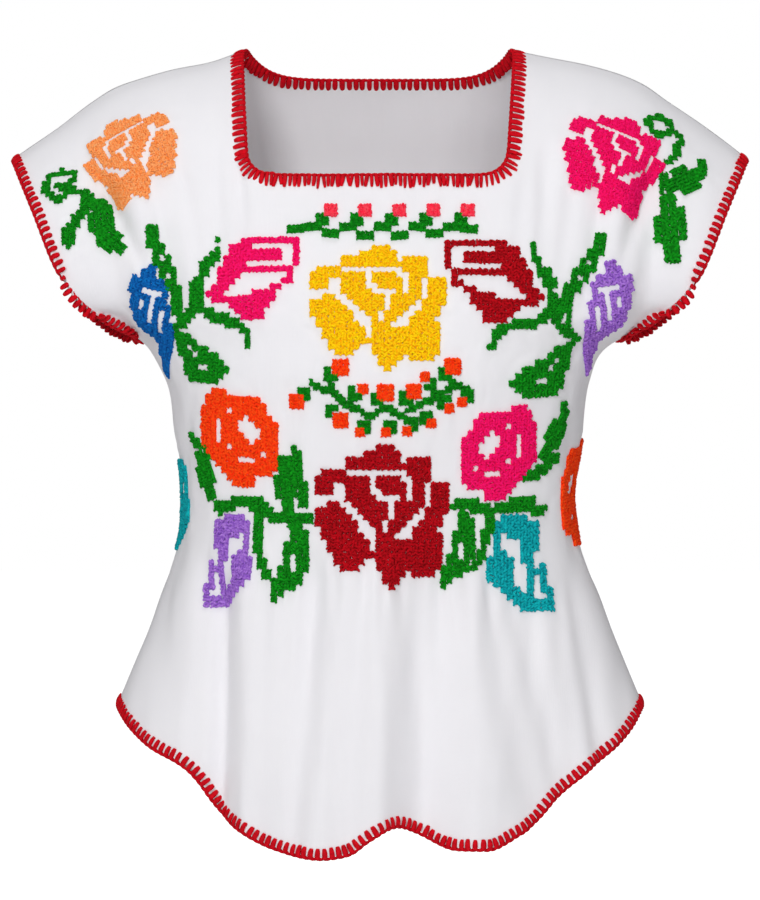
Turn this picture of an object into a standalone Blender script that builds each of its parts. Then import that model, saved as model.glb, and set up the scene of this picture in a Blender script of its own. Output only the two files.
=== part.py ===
"""A woman's white cotton blouse with cap sleeves cut in one with the body.

The front and the back are two shaped walls that meet at the shoulder and side seams. A ridge of red yarn
runs round the neck, both cuffs and the hem. Metres, X to the wearer's left, front towards -Y, Z up, with
the origin midway between the two points where the shoulder seams meet the neck.
"""

import math

import bmesh
import bpy
import numpy as np

for old in list(bpy.data.objects):
    bpy.data.objects.remove(old, do_unlink=True)

MM = 0.001
WALL = 1.5 * MM
SEAM_GAP = 0.3 * MM
YARN_RADIUS = 1.4 * MM
YARN_SIDES = 5
EDGE_SETBACK = 3.1 * MM  # the cloth ends this far inside the outer edge of the yarn

NECK_HALF_WIDTH = {-1: 107.2 * MM, 1: 104.7 * MM}  # at the shoulder, on the right side and on the left one
NECK_HALF_WIDTH_LOW = {-1: 102 * MM, 1: 97.5 * MM}  # at the bottom of the square neck
NECK_CORNER_RADIUS = 22 * MM
BACK_NECK_DROP = 21.3 * MM
UNDERARM_HEIGHT = -226.7 * MM
SIDE_HEM_HEIGHT = -518 * MM
CUFF_TIP_DROP = 87.7 * MM

NECK_SHARE = 0.36  # part of a half row that lies under the neck opening
NECK_ROW = 0.447  # the row of the neck's bottom edge, counted 0 at the shoulder and 1 at the underarm

# Share of the way from neck to cuff, drop of the right shoulder seam, drop of the left one.
SHOULDER = [
    (0.00, 0.0, 0.0),
    (0.15, 9.8, 5.8),
    (0.30, 15.2, 11.2),
    (0.45, 23.0, 19.0),
    (0.55, 29.5, 27.0),
    (0.65, 41.0, 40.0),
    (0.80, 62.0, 59.0),
    (0.95, 81.0, 80.0),
    (1.00, 87.7, 87.7),
]
# Row, distance out from the middle, height, depth of the front edge, depth of the back edge.
CUFF = [
    (0.00, 292.0, -87.7, 0.0, 0.0),
    (0.03, 289.5, -92.0, 13.0, 12.0),
    (0.08, 285.6, -100.6, 24.0, 22.0),
    (0.15, 280.0, -113.0, 37.0, 34.0),
    (0.25, 272.0, -131.0, 51.0, 47.0),
    (0.35, 264.5, -149.5, 61.0, 56.0),
    (0.46, 257.0, -168.0, 67.0, 61.0),
    (0.55, 250.6, -181.4, 69.0, 63.0),
    (0.68, 240.6, -198.0, 64.0, 58.0),
    (0.80, 225.8, -212.7, 50.0, 46.0),
    (0.90, 208.8, -222.8, 33.0, 30.0),
    (0.96, 199.0, -225.8, 19.0, 17.0),
    (1.00, 193.3, -226.7, 0.0, 0.0),
]
# Row, depth of the front at the middle, depth of the back at the middle.
UPPER_DEPTH = [
    (0.00, 0.0, 0.0),
    (0.03, 15.0, 15.0),
    (0.08, 29.0, 29.0),
    (0.15, 43.0, 43.0),
    (0.25, 57.0, 55.0),
    (0.35, 68.0, 64.0),
    (0.46, 77.0, 71.0),
    (0.60, 89.0, 79.0),
    (0.80, 103.0, 88.0),
    (1.00, 109.0, 94.0),
]
# Height, depth of the front, depth of the back.
BODY_DEPTH = [
    (-226.7, 109.0, 94.0),
    (-260.0, 112.0, 95.0),
    (-300.0, 107.0, 92.0),
    (-347.0, 100.0, 87.0),
    (-400.0, 101.0, 89.0),
    (-460.0, 109.0, 97.0),
    (-520.0, 117.0, 106.0),
    (-580.0, 123.0, 113.0),
    (-640.0, 128.0, 119.0),
]
# Height, half width on the right, half width on the left.
BODY_WIDTH = [
    (-226.7, 193.3, 193.3),
    (-231.5, 186.5, 183.5),
    (-237.0, 181.7, 176.2),
    (-246.5, 176.2, 169.9),
    (-257.5, 170.6, 166.7),
    (-268.6, 166.0, 163.5),
    (-300.0, 162.7, 160.0),
    (-325.5, 157.5, 155.6),
    (-347.0, 155.6, 151.5),
    (-375.0, 156.0, 154.0),
    (-407.0, 164.3, 163.0),
    (-430.0, 173.0, 173.0),
    (-456.0, 182.0, 182.5),
    (-482.0, 193.0, 193.0),
    (-518.0, 208.0, 208.0),
]
# Place across, height of the front hem.
FRONT_HEM = [
    (-208, -518), (-199, -530), (-180, -547), (-151, -563), (-139, -576), (-128, -593), (-109, -609.5),
    (-82, -623), (-44, -631), (-25, -628), (-8, -616.5), (15, -606), (30, -610), (60, -623.5), (82, -624.5),
    (104, -615), (122, -602), (137, -586), (160, -567), (193, -539), (208, -518),
]
# Place across, height of the back hem.
BACK_HEM = [
    (-208, -518), (-196, -533), (-172, -553), (-140, -575), (-105, -598), (-62, -612), (-20, -613),
    (12, -606), (48, -611), (88, -605), (130, -581), (166, -556), (196, -532), (208, -518),
]
# Across and height of the fold's top, across and height of its foot, half width, depth at top and foot.
FRONT_FOLDS = [
    (-132, -440, -137, -575, 19, 3, 6),
    (-117, -438, -118, -590, 9, 4, 6),
    (-55, -425, -62, -548, 13, 5, 1),
    (20, -420, 16, -612, 17, 7, 13),
    (41, -425, 43, -512, 9, 4, 0),
    (81, -440, 117, -592, 12, 5, 9),
    (98, -452, 128, -585, 20, 2, 3),
    (135, -445, 154, -566, 10, 4, 6),
    (-52, -500, -44, -635, 34, 0, -9),
    (72, -500, 72, -625, 28, 0, -7),
    (-135, -112, -120, -222, 14, 3, 1),
    (135, -112, 141, -222, 14, 3, 1),
    (-213, -118, -178, -176, 11, 5, 2),
    (205, -120, 186, -172, 12, 4, 2),
]
BACK_FOLDS = [
    (-128, -430, -142, -575, 14, 2, 7),
    (-84, -415, -90, -600, 15, 3, 9),
    (-28, -405, -18, -612, 17, 4, 8),
    (14, -410, 18, -610, 16, 3, 12),
    (66, -420, 62, -600, 14, 3, 6),
    (112, -432, 118, -590, 15, 2, 9),
    (-55, -490, -56, -612, 24, 0, -7),
    (46, -490, 42, -612, 22, 0, -6),
    (-150, -110, -138, -215, 15, 4, 2),
    (146, -108, 136, -215, 15, 4, 2),
]

FRONT, BACK = -1, 1
UPPER_ROWS = [0, 0.03, 0.08, 0.15, 0.23, 0.30, 0.36, 0.41, NECK_ROW, 0.55, 0.67, 0.78, 0.88, 0.95, 1]
LOWER_ROWS = [1.03, 1.07, 1.13, 1.21, 1.30, 1.40, 1.50, 1.60, 1.70, 1.79, 1.87, 1.94, 2]
NECK_COLUMNS = [0, 0.12, 0.24, 0.36, 0.48, 0.60, 0.72, 0.83, 0.93, 1]
SLEEVE_COLUMNS = 8


def smooth(table, column):
    """A smooth curve through one column of a table, without overshoot, against its first column."""
    x = np.array([row[0] for row in table], float)
    y = np.array([row[column] for row in table], float)
    step, slope = np.diff(x), np.diff(y) / np.diff(x)
    rate = np.zeros(len(x))
    for i in range(1, len(x) - 1):
        if slope[i - 1] * slope[i] > 0:
            a, b = 2 * step[i] + step[i - 1], step[i] + 2 * step[i - 1]
            rate[i] = (a + b) / (a / slope[i - 1] + b / slope[i])
    rate[0], rate[-1] = slope[0], slope[-1]

    def at(value):
        v = min(max(value, x[0]), x[-1])
        i = min(int(np.searchsorted(x, v, side="right")) - 1, len(x) - 2)
        u = (v - x[i]) / step[i]
        return (
            y[i] * (1 + 2 * u) * (1 - u) ** 2
            + rate[i] * step[i] * u * (1 - u) ** 2
            + y[i + 1] * u * u * (3 - 2 * u)
            + rate[i + 1] * step[i] * u * u * (u - 1)
        )

    return at


shoulder_drop = {-1: smooth(SHOULDER, 1), 1: smooth(SHOULDER, 2)}
cuff_out, cuff_height = smooth(CUFF, 1), smooth(CUFF, 2)
cuff_depth = {FRONT: smooth(CUFF, 3), BACK: smooth(CUFF, 4)}
upper_depth = {FRONT: smooth(UPPER_DEPTH, 1), BACK: smooth(UPPER_DEPTH, 2)}
body_table = sorted(BODY_DEPTH)
body_depth = {FRONT: smooth(body_table, 1), BACK: smooth(body_table, 2)}
width_table = sorted(BODY_WIDTH)
body_width = {-1: smooth(width_table, 1), 1: smooth(width_table, 2)}
hem_height = {FRONT: smooth(FRONT_HEM, 1), BACK: smooth(BACK_HEM, 1)}
folds = {FRONT: FRONT_FOLDS, BACK: BACK_FOLDS}


def ease(value):
    v = min(max(value, 0.0), 1.0)
    return v * v * (3 - 2 * v)


def fold_push(face, x, z):
    """How far the folds push the cloth inwards at a place, in mm."""
    push = 0.0
    for top_x, top_z, foot_x, foot_z, half_width, top, foot in folds[face]:
        along = (top_z - z) / (top_z - foot_z)
        share = min(max(along, 0.0), 1.0)
        middle = top_x + (foot_x - top_x) * along
        fade = ease(1 + along * (top_z - foot_z) / 45)
        if foot_z > -500:
            fade *= ease(1 - (along - 1) * (top_z - foot_z) / 40)
        push += (top + (foot - top) * share) * fade * math.exp(-(((x - middle) / half_width) ** 2))
    return push


def cloth_point(face, across, row):
    """A point of the cloth's outer face. Across runs -1 to 1, row 0 at the shoulder, 1 underarm, 2 hem."""
    side = -1 if across < 0 else 1
    part = abs(across)
    turn = part * math.pi / 2
    under_neck = min(part / NECK_SHARE, 1.0)
    if row <= 1:
        end_out, end_height = cuff_out(row), cuff_height(row)
        top, low = NECK_HALF_WIDTH[side], NECK_HALF_WIDTH_LOW[side]
        neck = (top + (low - top) * min(row / NECK_ROW, 1)) / MM
        beyond = max(part - NECK_SHARE, 0.0) / (1 - NECK_SHARE)
        straight = neck * under_neck + (end_out - neck) * beyond
        rounded = end_out * math.sin(turn)
        blend = ease((row - NECK_ROW) / (1 - NECK_ROW))
        x = straight + (rounded - straight) * blend
        share = shoulder_drop[side](max(x - neck, 0.0) / (end_out - neck)) / (CUFF_TIP_DROP / MM)
        middle = UNDERARM_HEIGHT / MM * row
        bulge = 0.0
        if face == BACK:
            scoop = (1 - under_neck**7) * (1 - min(row / NECK_ROW, 1.0)) ** 1.5
            middle -= BACK_NECK_DROP / MM * scoop
            bulge = 20 * (1 - under_neck**4) * (1 - row) ** 2
        z = middle + (end_height - middle) * share
        level = min(middle / (UNDERARM_HEIGHT / MM), 1.0)
        end_depth = cuff_depth[face](row)
        depth = end_depth + (upper_depth[face](level) - end_depth) * math.cos(turn) ** 0.75 + bulge
        calm = ease(row / 0.2) * ease((1 - part) / 0.06 + (1 - row) * 2)
    else:
        down = row - 1
        side_height = (UNDERARM_HEIGHT + (SIDE_HEM_HEIGHT - UNDERARM_HEIGHT) * down) / MM
        out = body_width[side](side_height)
        x = out * math.sin(turn)
        foot = hem_height[face](side * 208 * math.sin(turn))
        z = UNDERARM_HEIGHT / MM + (foot - UNDERARM_HEIGHT / MM) * down
        depth = body_depth[face](z) * max(math.cos(turn), 0.0) ** 0.75
        calm = ease((1 - part) / 0.16)
    depth -= fold_push(face, side * x, z) * calm
    y = face * max(depth * MM, SEAM_GAP / 2)
    return np.array([side * x * MM, y, z * MM])


def columns():
    """The places across at which a panel has a column of points, from right cuff to left cuff."""
    half = [NECK_SHARE * c for c in NECK_COLUMNS]
    half += [NECK_SHARE + (1 - NECK_SHARE) * (k + 1) / SLEEVE_COLUMNS for k in range(SLEEVE_COLUMNS)]
    return [-c for c in reversed(half[1:])] + half


ROWS = UPPER_ROWS + LOWER_ROWS
COLUMNS = columns()
UNDERARM = ROWS.index(1)
NECK_BOTTOM = ROWS.index(NECK_ROW)
LAST = len(COLUMNS) - 1
MIDDLE = LAST // 2
NECK_RIGHT, NECK_LEFT = MIDDLE - len(NECK_COLUMNS) + 1, MIDDLE + len(NECK_COLUMNS) - 1


def unit(vector):
    return vector / max(np.linalg.norm(vector), 1e-12)


def seam_direction(line, i, upwards):
    """The direction square to a seam in its own plane, away from the wearer."""
    run = line[min(i + 1, len(line) - 1)] - line[max(i - 1, 0)]
    square = unit(np.array([run[2], 0, -run[0]]))
    return square if square @ upwards > 0 else -square


def panel_points(face):
    """The outer points of a panel and the direction outwards at each."""
    p = np.array([[cloth_point(face, c, r) for c in COLUMNS] for r in ROWS])
    n = np.cross(np.gradient(p, axis=1), np.gradient(p, axis=0))
    n /= np.linalg.norm(n, axis=2, keepdims=True)
    if n[UNDERARM, MIDDLE, 1] * face < 0:
        n = -n
    for j in range(LAST + 1):
        n[0, j] = seam_direction(p[0], j, np.array([0, 0, 1.0]))
    for j, out in ((0, -1.0), (LAST, 1.0)):
        seam = p[UNDERARM:, j]
        for i in range(len(seam)):
            n[UNDERARM + i, j] = seam_direction(seam, i, np.array([out, 0, -0.3]))
    if face == BACK:  # the back neck is a free edge
        for j in range(NECK_RIGHT + 1, NECK_LEFT):
            n[0, j] = n[1, j]
    for j, inner in ((0, 1), (LAST, LAST - 1)):
        for i in range(UNDERARM):
            p[i, j] += EDGE_SETBACK * unit(p[i, inner] - p[i, j])
        p[UNDERARM, j] += EDGE_SETBACK * unit(p[UNDERARM + 1, j] - p[UNDERARM, j])
    p[-1] += EDGE_SETBACK * np.array([unit(v) for v in p[-2] - p[-1]])
    if face == FRONT:
        round_neck_corners(p)
    return p, n


def round_neck_corners(p):
    """Moves the points of the square neck's edge onto a round corner on each side."""
    for corner, inwards in ((NECK_RIGHT, 1), (NECK_LEFT, -1)):
        at = p[NECK_BOTTOM, corner].copy()
        up = unit(p[NECK_BOTTOM - 2, corner] - at)
        along = unit(p[NECK_BOTTOM, corner + 2 * inwards] - at)
        centre = at + NECK_CORNER_RADIUS * (up + along)
        for i, j, first, second in (
            [(NECK_BOTTOM - k, corner, up, along) for k in range(4)]
            + [(NECK_BOTTOM, corner + k * inwards, along, up) for k in range(1, 4)]
        ):
            far = np.linalg.norm(p[i, j] - at)
            if far < NECK_CORNER_RADIUS:
                angle = math.pi / 4 * (1 - far / NECK_CORNER_RADIUS)
                p[i, j] = centre - NECK_CORNER_RADIUS * (math.cos(angle) * second + math.sin(angle) * first)


def is_cloth(face, i, j):
    """Whether the panel has cloth between rows i and i + 1 and columns j and j + 1."""
    return face == BACK or i >= NECK_BOTTOM or j < NECK_RIGHT or j >= NECK_LEFT


def material(name, colour, roughness):
    made = bpy.data.materials.new(name)
    made.use_nodes = True
    shader = made.node_tree.nodes["Principled BSDF"]
    shader.inputs["Base Color"].default_value = (*colour, 1)
    shader.inputs["Roughness"].default_value = roughness
    return made


def solid(name, points, faces, paint):
    mesh = bpy.data.meshes.new(name)
    mesh.from_pydata([tuple(q) for q in points], [], faces)
    bm = bmesh.new()
    bm.from_mesh(mesh)
    bmesh.ops.recalc_face_normals(bm, faces=bm.faces)
    bm.to_mesh(mesh)
    bm.free()
    mesh.materials.append(paint)
    made = bpy.data.objects.new(name, mesh)
    bpy.context.scene.collection.objects.link(made)
    return made


def panel(name, face, p, n, paint):
    """The closed wall of one panel: an outer skin, an inner skin and the rims between them."""
    inner = p - WALL * n
    number, points = {}, []

    def corner(i, j, skin):
        if (i, j, skin) not in number:
            number[i, j, skin] = len(points)
            points.append((p, inner)[skin][i, j])
        return number[i, j, skin]

    faces, rims = [], {}
    for i in range(len(ROWS) - 1):
        for j in range(LAST):
            if not is_cloth(face, i, j):
                continue
            around = [(i, j), (i, j + 1), (i + 1, j + 1), (i + 1, j)]
            faces.append([corner(*c, 0) for c in around])
            faces.append([corner(*c, 1) for c in reversed(around)])
            for k in range(4):
                a, b = around[k], around[(k + 1) % 4]
                if (b, a) in rims:
                    del rims[b, a]
                else:
                    rims[a, b] = True
    for a, b in rims:
        faces.append([corner(*b, 0), corner(*a, 0), corner(*a, 1), corner(*b, 1)])
    return solid(name, points, faces, paint)


def joined(front, back):
    """One loop from a run of front edge points and the run of back edge points that closes it."""
    first, last = (front[0] + back[0]) / 2, (front[-1] + back[-1]) / 2
    return np.array([first, *front[1:-1], last, *back[-2:0:-1]])


def ridge(name, loop, outward, cloth, paint):
    """A closed ridge of yarn just outside the cloth's edge. Cloth is the next point in from each one."""
    count = len(loop)
    points, faces = [], []
    for k in range(count):
        run = unit(loop[(k + 1) % count] - loop[k - 1])
        away = loop[k] - cloth[k]
        away = unit(away - run * (away @ run))
        face_out = outward[k] - run * (outward[k] @ run)
        face_out = unit(face_out - away * (face_out @ away))
        middle = loop[k] - face_out * WALL / 2 + away * (SEAM_GAP + YARN_RADIUS)
        for s in range(YARN_SIDES):
            angle = 2 * math.pi * (s + 0.5) / YARN_SIDES
            points.append(middle + YARN_RADIUS * (math.sin(angle) * face_out - math.cos(angle) * away))
    for k in range(count):
        a, b = k * YARN_SIDES, (k + 1) % count * YARN_SIDES
        for s in range(YARN_SIDES):
            t = (s + 1) % YARN_SIDES
            faces.append([a + s, a + t, b + t, b + s])
    return solid(name, points, faces, paint)


white_cotton = material("white_cotton", (0.80, 0.79, 0.82), 0.85)
red_yarn = material("red_yarn", (0.55, 0.0, 0.012), 0.7)

front, front_out = panel_points(FRONT)
back, back_out = panel_points(BACK)
panel("front_panel", FRONT, front, front_out, white_cotton)
panel("back_panel", BACK, back, back_out, white_cotton)

neck_run = [(i, NECK_RIGHT) for i in range(NECK_BOTTOM)]
neck_run += [(NECK_BOTTOM, j) for j in range(NECK_RIGHT, NECK_LEFT + 1)]
neck_run += [(i, NECK_LEFT) for i in range(NECK_BOTTOM - 1, -1, -1)]
neck_inside = [(i, NECK_RIGHT - 1) for i in range(NECK_BOTTOM)]
neck_inside += [(NECK_BOTTOM + 1, j) for j in range(NECK_RIGHT, NECK_LEFT + 1)]
neck_inside += [(i, NECK_LEFT + 1) for i in range(NECK_BOTTOM - 1, -1, -1)]
neck_inside[NECK_BOTTOM] = (NECK_BOTTOM + 1, NECK_RIGHT - 1)
neck_inside[-NECK_BOTTOM - 1] = (NECK_BOTTOM + 1, NECK_LEFT + 1)
nape = range(NECK_RIGHT, NECK_LEFT + 1)


def nape_inside(j):
    if j == NECK_RIGHT:
        return back[0, j - 1]
    if j == NECK_LEFT:
        return back[0, j + 1]
    return back[1, j]


ridge(
    "neck_edging",
    joined([front[c] for c in neck_run], [back[0, j] for j in nape]),
    joined([front_out[c] for c in neck_run], [back_out[0, j] for j in nape]),
    joined([front[c] for c in neck_inside], [nape_inside(j) for j in nape]),
    red_yarn,
)
for name, edge, inside in (
    ("cuff_edging_right", 0, 1),
    ("cuff_edging_left", LAST, LAST - 1),
):
    inner_place = [(i, inside) for i in range(UNDERARM)] + [(UNDERARM + 1, edge)]
    ridge(
        name,
        joined([front[i, edge] for i in range(UNDERARM + 1)], [back[i, edge] for i in range(UNDERARM + 1)]),
        joined(
            [front_out[i, edge] for i in range(UNDERARM + 1)],
            [back_out[i, edge] for i in range(UNDERARM + 1)],
        ),
        joined([front[c] for c in inner_place], [back[c] for c in inner_place]),
        red_yarn,
    )
ridge(
    "hem_edging",
    joined(list(front[-1]), list(back[-1])),
    joined(list(front_out[-1]), list(back_out[-1])),
    joined(list(front[-2]), list(back[-2])),
    red_yarn,
)
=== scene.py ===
import math

import bpy
import numpy as np
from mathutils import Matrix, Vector, noise
from mathutils.bvhtree import BVHTree
from mathutils.kdtree import KDTree


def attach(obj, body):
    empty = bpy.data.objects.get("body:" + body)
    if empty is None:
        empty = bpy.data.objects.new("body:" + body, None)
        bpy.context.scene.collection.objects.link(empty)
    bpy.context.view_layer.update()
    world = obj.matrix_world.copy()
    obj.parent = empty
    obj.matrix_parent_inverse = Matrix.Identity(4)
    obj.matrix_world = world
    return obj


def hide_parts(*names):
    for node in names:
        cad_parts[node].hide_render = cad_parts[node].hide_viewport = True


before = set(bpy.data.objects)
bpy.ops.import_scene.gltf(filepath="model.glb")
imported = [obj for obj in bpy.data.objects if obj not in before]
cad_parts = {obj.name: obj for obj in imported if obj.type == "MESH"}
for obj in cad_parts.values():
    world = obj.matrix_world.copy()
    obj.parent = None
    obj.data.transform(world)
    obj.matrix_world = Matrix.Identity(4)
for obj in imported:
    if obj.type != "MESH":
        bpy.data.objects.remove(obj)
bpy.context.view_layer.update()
MM = 0.001

# The front and the back of the blouse: two shaped pieces of fine plain-woven white cotton, each with its
# half of both cap sleeves cut on, sewn together along the shoulders and down the sides. The cloth keeps
# the form that it has when worn. Rows run from the shoulder, 0, by the underarm, 1, to the hem, 2.
FRONT, BACK = -1, 1
CLOTH = 0.5  # mm, thickness
SEAM_GAP = 0.3
EDGE_SETBACK = 3.1  # the cloth ends this far inside the outer edge of the yarn
NECK_HALF_WIDTH = (107.2, 104.7)  # at the shoulder, on the right side and on the left one
NECK_HALF_WIDTH_LOW = (102.0, 97.5)
NECK_CORNER_RADIUS = 22.0
BACK_NECK_DROP = 21.3
UNDERARM = -226.7
SIDE_HEM = -518.0
HEM_HALF_WIDTH = 208
TIP_DROP = 87.7
NECK_SHARE = 0.36
NECK_ROW = 0.447

# Share of the way from neck to cuff, drop of the right shoulder seam, drop of the left one.
SHOULDER = [
    (0, 0, 0), (0.15, 9.8, 5.8), (0.3, 15.2, 11.2), (0.45, 23, 19), (0.55, 29.5, 27), (0.65, 41, 40),
    (0.8, 62, 59), (0.95, 81, 80), (1, 87.7, 87.7),
]
# Row, distance out from the middle, height, depth of the front edge, depth of the back edge.
CUFF = [
    (0, 292, -87.7, 0, 0), (0.03, 289.5, -92, 13, 12), (0.08, 285.6, -100.6, 24, 22),
    (0.15, 280, -113, 37, 34), (0.25, 272, -131, 51, 47), (0.35, 264.5, -149.5, 61, 56),
    (0.46, 257, -168, 67, 61), (0.55, 250.6, -181.4, 69, 63), (0.68, 240.6, -198, 64, 58),
    (0.8, 225.8, -212.7, 50, 46), (0.9, 208.8, -222.8, 33, 30), (0.96, 199, -225.8, 19, 17),
    (1, 193.3, -226.7, 0, 0),
]
# Row, depth of the front at the middle, depth of the back at the middle.
UPPER_DEPTH = [
    (0, 0, 0), (0.03, 15, 15), (0.08, 29, 29), (0.15, 43, 43), (0.25, 57, 55), (0.35, 68, 64),
    (0.46, 77, 71), (0.6, 89, 79), (0.8, 103, 88), (1, 109, 94),
]
# Height, depth of the front, depth of the back.
BODY_DEPTH = [
    (-640, 128, 119), (-580, 123, 113), (-520, 117, 106), (-460, 109, 97), (-400, 101, 89), (-347, 100, 87),
    (-300, 107, 92), (-260, 112, 95), (-226.7, 109, 94),
]
# Height, half width on the right, half width on the left.
BODY_WIDTH = [
    (-518, 208, 208), (-482, 193, 193), (-456, 182, 182.5), (-430, 173, 173), (-407, 164.3, 163),
    (-375, 156, 154), (-347, 155.6, 151.5), (-325.5, 157.5, 155.6), (-300, 162.7, 160),
    (-268.6, 166, 163.5), (-257.5, 170.6, 166.7), (-246.5, 176.2, 169.9), (-237, 181.7, 176.2),
    (-231.5, 186.5, 183.5), (-226.7, 193.3, 193.3),
]
# Place across, height of the hem.
FRONT_HEM = [
    (-208, -518), (-199, -530), (-180, -547), (-151, -563), (-139, -576), (-128, -593), (-109, -609.5),
    (-82, -623), (-44, -631), (-25, -628), (-8, -616.5), (15, -606), (30, -610), (60, -623.5), (82, -624.5),
    (104, -615), (122, -602), (137, -586), (160, -567), (193, -539), (208, -518),
]
BACK_HEM = [
    (-208, -518), (-196, -533), (-172, -553), (-140, -575), (-105, -598), (-62, -612), (-20, -613),
    (12, -606), (48, -611), (88, -605), (130, -581), (166, -556), (196, -532), (208, -518),
]
# Across and height of a fold's top, across and height of its foot, half width, depth at top and foot.
FRONT_FOLDS = [
    (-132, -440, -137, -575, 19, 3, 6), (-117, -438, -118, -590, 9, 4, 6), (-55, -425, -62, -548, 13, 5, 1),
    (35, -420, 35, -612, 21, 11, 18), (55, -425, 57, -512, 9, 3, 0), (81, -440, 117, -592, 12, 5, 9),
    (98, -452, 128, -585, 20, 2, 3), (135, -445, 154, -566, 10, 4, 6), (-52, -500, -44, -635, 34, 0, -9),
    (72, -500, 72, -625, 28, 0, -7), (-135, -112, -120, -222, 14, 3, 1), (135, -112, 141, -222, 14, 3, 1),
    (-213, -118, -178, -176, 11, 5, 2), (205, -120, 186, -172, 12, 4, 2),
]
BACK_FOLDS = [
    (-128, -430, -142, -575, 14, 2, 7), (-84, -415, -90, -600, 15, 3, 9), (-28, -405, -18, -612, 17, 4, 8),
    (14, -410, 18, -610, 16, 3, 12), (66, -420, 62, -600, 14, 3, 6), (112, -432, 118, -590, 15, 2, 9),
    (-55, -490, -56, -612, 24, 0, -7), (46, -490, 42, -612, 22, 0, -6), (-150, -110, -138, -215, 15, 4, 2),
    (146, -108, 136, -215, 15, 4, 2),
]
# Small soft creases, in the same columns.
FRONT_CREASES = [
    (2, -425, -3, -622, 15, -5, -10), (62, -430, 64, -622, 16, 1, 2), (-26, -425, -48, -622, 13, -3.5, -4),
    (-125, -440, -127, -592, 6, 8, 9), (-104, -432, -106, -590, 10, -3, -2),
    (-51, -425, -64, -600, 9, 5, 3), (109, -440, 148, -600, 11, 4.5, 5),
    (81, -440, 116, -592, 12, -4.5, -7.5), (154, -440, 174, -566, 9, 4, 4.4),
    (137, -445, 156, -566, 10, -3, -4.5), (-168, -425, -172, -480, 6, 3, 0.4),
    (-134, -425, -132, -500, 6, 2.2, 0.4), (-150, -430, -152, -560, 9, -1.6, -1.4),
    (-90, -440, -92, -500, 5, 1.6, 0.4), (48, -428, 50, -520, 6, 3, 0.6), (62, -428, 65, -480, 5, 2.4, 0.2),
    (72, -425, 78, -560, 10, -3, -2), (-12, -424, -14, -470, 5, 3, 0.2), (16, -424, 17, -462, 5, 2.4, 0),
    (-72, -430, -76, -520, 6, 2.4, 0.8), (86, -430, 90, -470, 5, 3, 0.4),
    (120, -445, 126, -490, 6, 2.6, 0.4), (140, -440, 145, -500, 6, 2, 0.6),
    (-34, -424, -32, -468, 5, 2.6, 0), (2, -426, 0, -470, 4, 2, 0), (-100, -438, -102, -480, 5, 2, 0.2),
    (58, -540, 54, -615, 10, 0, 2), (-86, -530, -90, -618, 11, 0, 2.4), (-214, -122, -206, -222, 18, 8, 12),
    (216, -118, 210, -212, 16, 10, 12), (-211, -118, -189, -166, 5, 3.2, 2.4),
    (-177, -112, -168, -168, 6, 3.6, 2.4), (-152, -110, -142, -160, 7, 4, 2),
    (-127, -108, -124, -156, 6, 3, 1.6), (-109, -108, -108, -150, 5, 2.6, 1.4),
    (206, -118, 192, -160, 6, 3, 2), (174, -112, 166, -170, 6, 3.4, 2.2), (150, -110, 143, -158, 7, 3.6, 2),
    (128, -108, 126, -154, 6, 2.8, 1.6), (-240, -104, -228, -180, 9, 1.6, 1.6),
    (244, -106, 230, -186, 9, 1.8, 1.2), (-166, -118, -160, -192, 13, 5, 7),
    (166, -118, 160, -188, 13, 5, 6), (-110, -118, -100, -168, 7, 2, 0.4),
    (112, -118, 104, -172, 7, 2, 0.4), (-150, -300, -158, -390, 6, 1.8, 2),
    (148, -296, 154, -384, 6, 2, 1.8), (-166, -270, -150, -320, 7, 2.4, 0.6),
    (166, -262, 150, -312, 7, 2.4, 0.6),
]
BACK_CREASES = [
    (-46, -420, -40, -520, 7, 1.5, 0.3), (30, -425, 34, -540, 8, 1.4, 0.4),
    (-106, -430, -112, -560, 8, 1.2, 1), (86, -428, 92, -540, 7, 1.3, 0.5),
    (140, -430, 160, -530, 9, 1, 1.5), (-152, -425, -172, -525, 9, 1, 1.5),
    (-90, -60, -70, -150, 12, 1.6, 0.4), (88, -62, 72, -150, 12, 1.5, 0.4),
    (-212, -112, -186, -178, 10, 2.4, 1.4), (210, -114, 186, -176, 10, 2.2, 1.4),
    (0, -120, 4, -220, 14, 1, 0.4), (-148, -300, -154, -390, 7, 1, 1.2), (146, -298, 152, -388, 7, 1, 1.2),
]
UPPER_ROWS = [0, 0.03, 0.08, 0.15, 0.23, 0.30, 0.36, 0.41, NECK_ROW, 0.55, 0.67, 0.78, 0.88, 0.95, 1]
LOWER_ROWS = [1.03, 1.07, 1.13, 1.21, 1.30, 1.40, 1.50, 1.60, 1.70, 1.79, 1.87, 1.94, 2]
NECK_COLUMNS = [0, 0.12, 0.24, 0.36, 0.48, 0.60, 0.72, 0.83, 0.93, 1]
FINER = 6  # fine rows and columns in each coarse one


def smooth(table, column):
    """A smooth curve through one column of a table, without overshoot, against its first column."""
    x = np.array([row[0] for row in table], float)
    y = np.array([row[column] for row in table], float)
    step, slope = np.diff(x), np.diff(y) / np.diff(x)
    rate = np.zeros(len(x))
    for i in range(1, len(x) - 1):
        if slope[i - 1] * slope[i] > 0:
            a, b = 2 * step[i] + step[i - 1], step[i] + 2 * step[i - 1]
            rate[i] = (a + b) / (a / slope[i - 1] + b / slope[i])
    rate[0], rate[-1] = slope[0], slope[-1]

    def at(value):
        v = np.clip(value, x[0], x[-1])
        i = np.clip(np.searchsorted(x, v, side="right") - 1, 0, len(x) - 2)
        u = (v - x[i]) / step[i]
        first = y[i] * (1 + 2 * u) * (1 - u) ** 2 + rate[i] * step[i] * u * (1 - u) ** 2
        return first + y[i + 1] * u * u * (3 - 2 * u) + rate[i + 1] * step[i] * u * u * (u - 1)

    return at


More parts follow.
